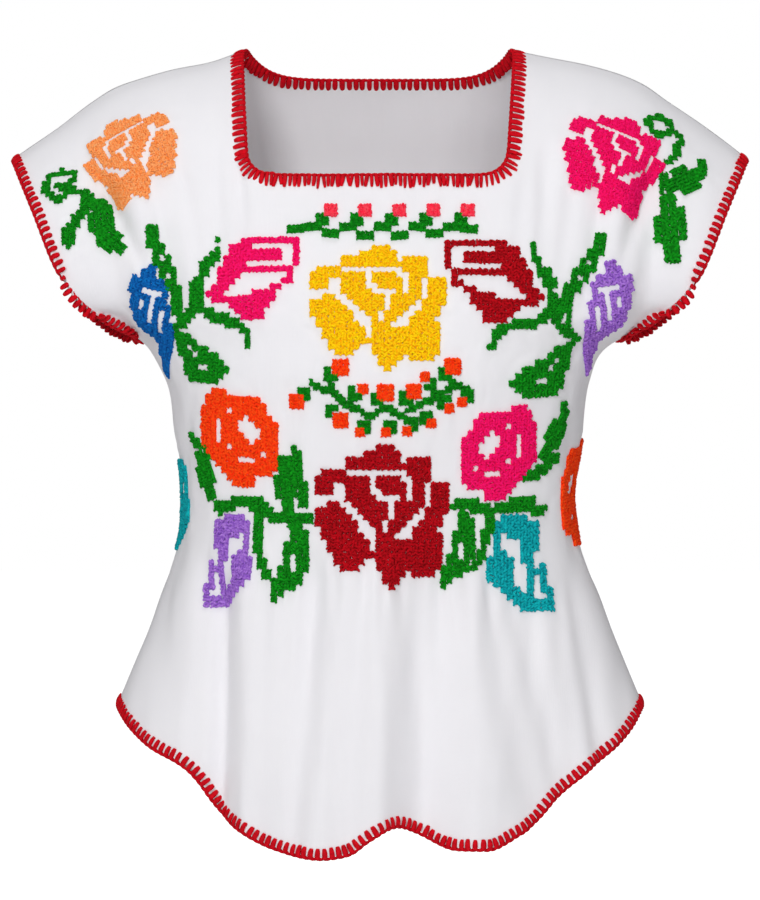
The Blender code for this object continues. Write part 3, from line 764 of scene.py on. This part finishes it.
SMALL_LEAF = [
    ("patch", (-0.5, 5), (1, 5), (1.5, 3), (2, 0), (1, -5), (-1, -4.8), (-2, 0)),
    ("gap", 0.7, (0, 2), (0, 2)),
    ("gap", 0.7, (0, -1), (0, -1)),
]


def chart(design, mirrored):
    """The squares that hold a stitch, as places in stitches from the design's middle."""
    middles = np.arange(-24, 24) + 0.5
    x, y = np.meshgrid(middles, middles)
    worked = np.zeros(x.shape, bool)
    for kind, *points in design:
        width = points.pop(0) if kind in ("line", "gap") else 0
        corners = np.array(points)
        within = np.zeros(x.shape, bool)
        if width:
            for a, b in zip(corners[:-1], corners[1:]):
                run = b - a
                share = np.clip(((x - a[0]) * run[0] + (y - a[1]) * run[1]) / max(run @ run, 1e-9), 0, 1)
                away = np.hypot(x - a[0] - share * run[0], y - a[1] - share * run[1])
                within |= away < width / 2 + 0.02
        else:
            for a, b in zip(corners, np.roll(corners, -1, axis=0)):
                crossing = (a[1] > y) != (b[1] > y)
                with np.errstate(divide="ignore", invalid="ignore"):
                    within ^= crossing & (x < a[0] + (y - a[1]) * (b[0] - a[0]) / (b[1] - a[1]))
        worked = worked | within if kind in ("patch", "line") else worked & ~within
    squares = np.stack([x[worked], y[worked]], 1)
    return squares * ((-1, 1) if mirrored else (1, 1))


# A design sewn at a place in the photograph: piece, design, across and down there in pixels, the size of its
# stitches across and up, and where they are not 0, its turn in degrees, whether it is mirrored, and how many
# stitches it slides to the right.
FLOWERS = [
    ("yellow", ROSE, 378, 305, 1.02, 0.91),
    ("dark_red", ROSE, 382, 514, 1.0, 1.04),
    ("dark_red", BUD, 495, 281, 1.03, 0.98, 0, True),
    ("hot_pink", BUD, 252, 278, 0.97, 0.97),
    ("hot_pink", ROUND_ROSE, 500, 453, 0.95, 0.97, 0, True),
    ("hot_pink", ROSE, 614, 160, 0.80, 0.78, -20),
    ("peach", ROSE, 131, 154, 0.74, 0.70, 27, True),
    ("orange_red", ROUND_ROSE, 238, 438, 1.02, 1.0),
    ("orange_red", ROUND_ROSE, 563, 496, 1.0, 1.1, 0, True, 6),
    ("lavender", CUP, 228, 561, 0.96, 0.97),
    ("lavender", TULIP, 612, 320, 0.95, 1.0),
    ("blue", TULIP, 147, 322, 0.95, 1.0, 0, True),
    ("teal", CUP, 520, 563, 1.22, 0.99, 0, True),
    ("teal", CUP, 188, 505, 1.1, 0.95, 0, False, -4),
    ("left_green", LONG_LEAF, 165, 273, 1.05, 1.0),
    ("left_green", HOLED_LEAF, 203, 358, 1.0, 1.03),
    ("left_green", SMALL_LEAF, 206, 475, 0.95, 0.85, 24),
    ("left_green", SMALL_LEAF, 286, 486, 0.95, 1.0, 6),
    ("left_green", SPLIT_LEAF, 290, 560, 1.05, 1.0),
    ("right_green", LONG_LEAF, 583, 276, 1.05, 0.95, -12, True),
    ("right_green", HOLED_LEAF, 541, 372, 1.2, 1.03, 0, True),
    ("right_green", SPLIT_LEAF, 458, 548, 0.95, 0.98),
    ("right_green", SMALL_LEAF, 555, 434, 1.0, 1.0, -38),
    ("right_green", SMALL_LEAF, 670, 228, 1.35, 1.15, 4),
    ("right_green", SMALL_LEAF, 684, 180, 1.25, 0.72, -62),
    ("left_green", SMALL_LEAF, 101, 222, 1.1, 0.82, 6),
    ("left_green", SMALL_LEAF, 111, 241, 0.95, 0.62, 52),
]

# Stalks, tendrils and vines: piece, the size of its stitches, then each stalk's width in stitches and its
# run in the photograph's pixels, read off it.
STALKS = [
    ("left_green", 0.85, [
        (1.1, (218, 239), (218, 240)), (1.3, (217, 249), (212, 260), (204, 268), (201, 277), (198, 288)),
        (2.2, (208, 262), (204, 269)), (2.4, (195, 289), (195, 306)), (1.5, (190, 310), (184, 317),
        (176, 324)), (1, (171, 327), (174, 336), (178, 345)), (1.3, (201, 305), (208, 312)), (2, (212, 315),
        (226, 320)), (1.6, (226, 320), (240, 326), (247, 333), (247, 342)),
    ]),
    ("left_green", 0.85, [
        (1.3, (178, 438), (188, 446), (200, 450), (204, 458)), (1.6, (299, 452), (301, 466), (300, 478),
        (306, 490), (306, 503)), (1, (294, 460), (289, 470)), (1.5, (290, 498), (291, 517)), (1, (212, 506),
        (212, 507)), (1.9, (217, 509), (228, 505), (240, 502)), (2.3, (240, 502), (258, 502)), (1.8,
        (258, 502), (270, 509), (275, 516)), (1.5, (275, 516), (290, 517), (312, 518)), (1.5, (256, 508),
        (260, 520), (260, 532), (261, 545), (263, 556), (268, 568), (272, 575)), (2.1, (261, 540),
        (261, 548)), (1.4, (297, 519), (296, 526)),
    ]),
    ("left_green", 0.75, [
        (1.1, (88, 194), (79, 192), (72, 189), (57, 198), (50, 192), (42, 180), (49, 170), (61, 167),
        (73, 169), (74, 175), (69, 180), (67, 185), (59, 183)), (1.7, (87, 197), (86, 207)), (1.5,
        (84, 211), (76, 222), (72, 231), (69, 246)), (1, (64, 231), (67, 240)), (2, (92, 205), (106, 205)),
        (1, (119, 235), (119, 236)),
    ]),
    ("right_green", 0.85, [
        (1.1, (535, 247), (536, 249)), (1.3, (537, 258), (541, 268), (549, 278), (551, 291), (555, 303)),
        (2.1, (545, 272), (550, 283)), (2.5, (555, 303), (556, 316)), (1.5, (560, 322), (569, 331),
        (578, 337), (582, 341), (576, 349)), (1, (571, 311), (572, 322), (568, 328)), (1.4, (547, 314),
        (538, 321)), (2, (534, 322), (519, 323)), (1.5, (519, 323), (506, 327), (497, 333), (493, 346)),
    ]),
    ("right_green", 0.85, [
        (1.6, (451, 504), (472, 501)), (1.5, (472, 507), (488, 509)), (1.6, (496, 507), (512, 505)), (2.3,
        (512, 504), (530, 502)), (1.8, (530, 508), (542, 511)), (1.1, (550, 510), (550, 511)), (1.6,
        (460, 510), (460, 518)), (1.8, (490, 512), (487, 525), (483, 538)), (1.2, (481, 545), (476, 557),
        (468, 566)), (1, (569, 416), (575, 407)), (1.5, (528, 478), (541, 478)), (1.8, (545, 472),
        (553, 466)), (1.6, (557, 462), (563, 461)),
    ]),
    ("right_green", 0.75, [
        (1.1, (666, 161), (676, 155), (679, 141), (684, 134), (675, 121), (673, 114), (662, 109),
        (648, 117), (653, 125), (658, 134), (670, 128)), (1.2, (664, 174), (662, 189)), (1.3, (695, 174),
        (702, 168), (707, 166), (705, 159)), (1.2, (669, 196), (671, 203)), (1.1, (674, 250), (673, 262)),
    ]),
    ("vine_green", 0.6, [
        (1.1, (313, 384), (324, 389), (338, 395), (347, 405), (360, 410)), (1.1, (366, 414), (374, 415),
        (381, 409), (390, 408), (398, 415), (406, 418)), (1.1, (409, 410), (418, 405), (428, 401),
        (436, 396)), (1.2, (440, 394), (450, 389)), (1.1, (452, 384), (460, 387), (467, 392)), (0.8,
        (331, 379), (335, 390)), (0.8, (356, 397), (350, 404)), (0.8, (378, 403), (383, 408)), (0.8,
        (407, 401), (410, 408)), (0.8, (430, 387), (436, 395)), (0.8, (446, 377), (452, 386)),
    ]),
]

# The upper vine: short bars, by turns above and below the line, with a square blossom and its leaf on every
# other one. Its stitches are smaller.
FINE = 0.72
SQUARE = [("patch", (-1, -1), (1, -1), (1, 1), (-1, 1))]
BIG_SQUARE = [("patch", (-1.5, -1.5), (1.5, -1.5), (1.5, 1.5), (-1.5, 1.5))]
BAR = [("patch", (-2, -1), (2, -1), (2, 1), (-2, 1))]
LEAFLET = [("patch", (-1.5, 1.5), (0, 1.5), (0, 0.5), (1.5, 0), (1.5, -1.5), (-1.5, -1.5))]
for k in range(11):
    sag = 227 if k % 2 else 229 + 7 * (1 - ((k - 5) / 5) ** 2)
    FLOWERS.append(("vine_green", BAR, 296 + 17.3 * k, sag, FINE, FINE, 6 * math.sin(2.4 * k)))
for k in range(5):
    FLOWERS.append(("vine_green", LEAFLET, 324.5 + 34.6 * k, 217.5, FINE, FINE))
    FLOWERS.append(("coral", BIG_SQUARE, 333 + 34.2 * k, 208.5, FINE, FINE, 3 * (k % 3) - 3))
# The lower vine's blossoms, each with its leaf at the stalk: across, down and size of the blossom, then
# across, down, size and turn of the leaf and whether it is mirrored.
CORNER = [("patch", (-2, 2), (0, 2), (0, 0), (2, 0), (2, -2), (-2, -2))]
BLOSSOMS = [
    (341, 367, 1.35, 331, 374, 1.25), (297, 401, 1.25, 304, 394, 1.15, 180),
    (363, 389, 0.8, 355, 393, 1.3), (386, 392, 1.4, 377, 399, 1.1),
    (414, 391, 1.25, 406, 398, 1.3), (425, 377, 0.75, 430, 384, 1.1, 0, True),
    (453, 366, 1.35, 445, 374, 1.2), (462, 402, 0.75, 467, 396, 1.2, 180),
    (341, 420, 1.25, 332, 411, 1.15, 180, True), (360, 432, 0.75, 364, 427, 1.2, 180),
    (386, 432, 0.75, 390, 427, 1.2, 180), (407, 431, 0.75, 411, 424, 1.3, 180),
    (431, 423, 0.75, 426, 418, 1.2, 180, True), (449, 408, 0.75, 444, 402, 1.3, 180, True),
]
for px, py, size, leaf_px, leaf_py, leaf_size, *turns in BLOSSOMS:
    square, share, aside = (BIG_SQUARE, 0.66, 2.2) if size > 1 else (SQUARE, 1.05, 0)
    FLOWERS.append(("orange_red", square, px + aside, py - aside, share * size, share * size))
    FLOWERS.append(("vine_green", CORNER, leaf_px, leaf_py, 0.46 * leaf_size, 0.46 * leaf_size, *turns))
# The stalks are sewn as designs too.
for piece, scale, runs in STALKS:
    every = np.array([p for run in runs for p in run[1:]])
    middle = (every.min(0) + every.max(0)) / 2
    step = scale * STITCH / PIXEL
    design = [
        ("line", run[0] / scale, *[((x - middle[0]) / step, (middle[1] - y) / step) for x, y in run[1:]])
        for run in runs
    ]
    FLOWERS.append((piece, design, *middle, scale, scale))


def cloth_tree():
    """The outside of both panels, to lay stitches on."""
    corners, squares = [], []
    for face, points in ((FRONT, front_points), (BACK, back_points)):
        first = len(corners)
        corners += [Vector(p) for p in points.reshape(-1, 3)]
        for i in range(len(rows) - 1):
            for j in range(len(columns) - 1):
                if face == FRONT and i < neck_row and neck_right <= j < neck_left:
                    continue
                here = first + i * len(columns) + j
                around = [here, here + 1, here + 1 + len(columns), here + len(columns)]
                squares.append(around[::-1] if face == FRONT else around)
    return BVHTree.FromPolygons(corners, squares)


cloth_outside = cloth_tree()
PICTURE_WIDTH = 760  # pixels
NECK_DOWN = 50  # pixels from the photograph's top to the height of the frame's origin
DISTANCE = 4000  # mm from which the photograph is taken, level with its middle
EYE = Vector((0, -DISTANCE, -400 * PIXEL))


def walk(spot, out, way, far):
    """Goes this far over the cloth, and brings the way it faces along."""
    steps = max(1, math.ceil(far / 6))
    for _ in range(steps):
        spot, out, _, _ = cloth_outside.find_nearest(spot + way * (far / steps))
        way = (way - out * way.dot(out)).normalized()
    return spot, out, way


def sew(design, px, py, wide, high, turn=0, mirrored=False, slide=0):
    """Every stitch of a design as (place, outward, across, up) on the cloth, in mm."""
    aim = Vector(((px - PICTURE_WIDTH / 2) * PIXEL, 0, (NECK_DOWN - py) * PIXEL))
    spot, out, _, _ = cloth_outside.ray_cast(EYE, (aim - EYE).normalized())
    if spot is None:
        spot, out, _, _ = cloth_outside.find_nearest(aim)
    across = (Vector((1, 0, 0)) - out * out.x).normalized()
    if slide:
        spot, out, across = walk(spot, out, across if slide > 0 else -across, abs(slide) * STITCH)
        across = across if slide > 0 else -across
    turned = math.radians(turn)
    stitches = []
    for x, y in chart(design, mirrored):
        x, y = x * wide * STITCH, y * high * STITCH
        angle, far = math.atan2(y, x) + turned, math.hypot(x, y)
        way = across * math.cos(angle) + out.cross(across) * math.sin(angle)
        place, facing_out, way = walk(spot, out, way, far)
        angle -= turned
        right = way * math.cos(angle) - facing_out.cross(way) * math.sin(angle)
        stitches.append((place, facing_out, right, facing_out.cross(right)))
    return stitches


def wool_tree():
    """On each point a plump strand of wool in local X, or where ground is 1 a flat pad under the strands."""
    lengths = ("Strand length", "Strand thickness", "Pile", "Pad", "Unevenness")
    sockets = [(length, "Float") for length in lengths] + [("Seed", "Int"), ("Wool", "Material")]
    tree, size, result = new_tree("Wool stitches", sockets)

    def sized(factor_x, y, factor_z):
        x = maths(tree, "MULTIPLY", size["Strand length"], factor_x)
        z = maths(tree, "MULTIPLY", size["Pile"], factor_z)
        return add(tree, "ShaderNodeCombineXYZ", {0: x, 1: y, 2: z})

    ends = {"Start": sized(-0.5, 0.0, 0.1), "Middle": sized(0.0, 0.0005, 1.7), "End": sized(0.5, 0.0, 0.1)}
    arch = add(tree, "GeometryNodeCurveQuadraticBezier", {"Resolution": 3, **ends})
    along = add(tree, "GeometryNodeSplineParameter")
    eased = maths(tree, "MULTIPLY_ADD", along, 0.76 * math.pi, 0.12 * math.pi)
    swell = maths(tree, "POWER", maths(tree, "SINE", eased), 0.4)
    round_strand = {"Resolution": 5, "Radius": size["Strand thickness"]}
    strand = swept(tree, arch, add(tree, "GeometryNodeCurvePrimitiveCircle", round_strand), swell)
    block = add(tree, "GeometryNodeMeshCube", {"Size": (1.0, 1.0, 1.0)})
    tall = maths(tree, "MULTIPLY", size["Pile"], 1.1)
    spread = add(tree, "ShaderNodeCombineXYZ", {0: size["Pad"], 1: size["Pad"], 2: tall})
    pad = add(tree, "GeometryNodeTransform", {"Geometry": block, "Scale": spread})
    is_ground = named(tree, "ground", "FLOAT")
    is_strand = add(tree, "FunctionNodeCompare", {"A": is_ground, "B": 0.5}, operation="LESS_THAN")
    least = maths(tree, "SUBTRACT", 1.0, size["Unevenness"])
    most = maths(tree, "ADD", 1.0, size["Unevenness"])
    limits = {0: least, 1: most, "Seed": size["Seed"]}
    uneven = add(tree, "FunctionNodeRandomValue", limits, data_type="FLOAT_VECTOR")
    own_size = named(tree, "size")
    unequal = add(tree, "ShaderNodeVectorMath", {0: uneven, 1: own_size}, operation="MULTIPLY")
    turned = facing(tree, named(tree, "along"), named(tree, "outward"))
    laid = []
    for chosen, shape, scale in ((is_strand, strand, unequal), (is_ground, pad, own_size)):
        spread = {"Points": size["Points"], "Selection": chosen, "Instance": shape}
        spread |= {"Rotation": turned, "Scale": scale}
        laid.append(add(tree, "GeometryNodeInstanceOnPoints", spread))
    give_out(tree, laid, size["Wool"], result)
    return tree


def linear(*shades):
    """A colour given from 0 to 255 as light values."""
    return tuple(((s / 255 + 0.055) / 1.055) ** 2.4 if s > 10 else s / 3295 for s in shades)


# Wool of each piece, its shaded and its lit colour; wool_yellow and so on are the pieces.
WOOLS = {
    "yellow": ((255, 182, 0), (255, 222, 0)),
    "dark_red": ((148, 0, 10), (200, 0, 22)),
    "hot_pink": ((240, 0, 92), (255, 18, 118)),
    "peach": ((255, 148, 70), (255, 182, 118)),
    "orange_red": ((255, 46, 0), (255, 84, 14)),
    "coral": ((255, 30, 70), (255, 80, 98)),
    "lavender": ((140, 84, 196), (184, 132, 226)),
    "blue": ((0, 80, 158), (6, 116, 196)),
    "teal": ((0, 142, 156), (8, 188, 192)),
    "left_green": ((0, 108, 8), (10, 158, 22)),
    "right_green": ((0, 108, 8), (10, 158, 22)),
    "vine_green": ((0, 108, 8), (10, 158, 22)),
}
# Places of the four strands in a stitch, and which way each leans: they stand in a herringbone.
STRANDS = [(-0.24, -0.25, 1), (0.24, -0.25, -1), (-0.24, 0.25, 1), (0.24, 0.25, -1)]
STRAY = 0.22  # mm
LEAN, LEAN_SPREAD = 46, 17  # degrees
CROSSED_OVER = 0.22  # share of the strands that lean the other way
wool_stitches = wool_tree()
random = np.random.default_rng(7)
sewn_spots = []
for number, (colour, (shaded, lit)) in enumerate(WOOLS.items()):
    stitches = []  # place, outward, along, ground and size of every pad and strand
    for piece, design, px, py, wide, high, *turns in FLOWERS:
        if piece != colour:
            continue
        mean = math.sqrt(wide * high)
        for place, out, right, up in sew(design, px, py, wide, high, *turns):
            stitches.append((place, out, right, 1, (wide, high, 1)))
            sewn_spots.append(place)
            for share_x, share_y, cross in STRANDS:
                dx, dy = random.normal(0, STRAY, 2) + (share_x * wide * STITCH, share_y * high * STITCH)
                spot, facing_out, _, _ = cloth_outside.find_nearest(place + right * dx + up * dy)
                if random.random() < CROSSED_OVER:
                    cross = -cross
                angle = cross * math.radians(LEAN + random.normal(0, LEAN_SPREAD))
                way = (right * math.cos(angle) + up * math.sin(angle)) * random.choice((1, -1))
                lift = random.uniform(0.1, 0.7)
                stitches.append((spot + facing_out * lift, facing_out, way, 0, (mean, mean, 1)))
    wool = yarn_material(colour + "_wool", linear(*shaded), linear(*lit), 0.85)
    spots, outs, alongs, grounds, scales = zip(*stitches)
    made = point_mesh("wool_" + colour, spots, outward=outs, along=alongs, ground=grounds, size=scales)
    sizes = {
        "Strand length": 3.7 * MM, "Strand thickness": 1.12 * MM, "Pile": 1.15 * MM,
        "Pad": 0.94 * STITCH * MM, "Unevenness": 0.14, "Seed": number, "Wool": wool,
    }
    grown(made, wool_stitches, sizes)

# Sewing this thick draws the cloth in: it lies in small uneven puckers just outside every flower.
PUCKER = 0.9  # mm
sewn = KDTree(len(sewn_spots))
for k, spot in enumerate(sewn_spots):
    sewn.insert(spot, k)
sewn.balance()
for cloth, ways in ((front_cloth, front_ways), (back_cloth, back_ways)):
    for vertex, way in zip(cloth.data.vertices, ways):
        place = vertex.co / MM
        _, _, away = sewn.find(place)
        strength = ease((away - 2.5) / 3) * (1 - ease((away - 7) / 12))
        if strength > 0:
            push = noise.noise(place * 0.11) + 0.5 * noise.noise(place * 0.23)
            vertex.co += Vector(way) * (PUCKER * strength * push * MM)

# The studio: a plain pale floor and soft white light from all round, with a soft lamp in front on the left,
# a weaker one on the right and one above. The camera is straight in front, level with the middle of the
# blouse.
FLOOR, FLOOR_HALF = -0.75, 14  # m
corners = [(x * FLOOR_HALF, y * FLOOR_HALF, FLOOR) for x, y in ((-1, -1), (1, -1), (1, 1), (-1, 1))]
floor_mesh = bpy.data.meshes.new("floor")
floor_mesh.from_pydata(corners, [], [(0, 1, 2, 3)])
floor = bpy.data.objects.new("floor", floor_mesh)
bpy.context.scene.collection.objects.link(floor)
floor_paint, floor_nodes, floor_shader = new_material("pale_floor", Roughness=0.9)
floor_shader.inputs["Base Color"].default_value = (0.9, 0.9, 0.9, 1)
floor_shader.inputs["Emission Color"].default_value = (1, 1, 1, 1)


def seen_or_not(tree, unseen, seen, strength):
    """One strength of light where the camera looks at it, and another where it falls on the blouse."""
    direct = add(tree, "ShaderNodeLightPath").outputs["Is Camera Ray"]
    level = add(tree, "ShaderNodeMapRange", {0: direct, 3: unseen, 4: seen})
    tree.links.new(level.outputs[0], strength)


seen_or_not(floor_nodes, 0.05, 0.9, floor_shader.inputs["Emission Strength"])
floor_mesh.materials.append(floor_paint)

world = bpy.data.worlds.new("studio")
bpy.context.scene.world = world
world.use_nodes = True
sky = world.node_tree.nodes["Background"]
sky.inputs[0].default_value = (1.0, 1.0, 1.0, 1)
seen_or_not(world.node_tree, 0.24, 1.0, sky.inputs[1])


def soft_lamp(name, place, size, power):
    """A square lamp, in metres and watts, turned to the middle of the blouse."""
    lamp = bpy.data.lights.new(name, "AREA")
    lamp.shape, lamp.size, lamp.energy = "SQUARE", size, power
    made = bpy.data.objects.new(name, lamp)
    made.location = place
    made.rotation_euler = (Vector((0.0, 0.0, -0.3)) - Vector(place)).to_track_quat("-Z", "Y").to_euler()
    bpy.context.scene.collection.objects.link(made)


soft_lamp("key", (-0.9, -3.4, 1.1), 0.9, 54)
soft_lamp("fill", (0.9, -3.6, 0.3), 1.2, 20)
soft_lamp("top", (0.1, -1.0, 3.2), 1.4, 26)

lens = bpy.data.cameras.new("camera")
lens.sensor_fit, lens.sensor_width = "HORIZONTAL", 36.0
lens.lens = lens.sensor_width * DISTANCE / (PICTURE_WIDTH * PIXEL)
lens.clip_end = 50
camera = bpy.data.objects.new("camera", lens)
camera.location = EYE * MM
camera.rotation_euler = (math.pi / 2, 0, 0)
bpy.context.scene.collection.objects.link(camera)
bpy.context.scene.camera = camera
bpy.context.scene.view_settings.view_transform = "Standard"
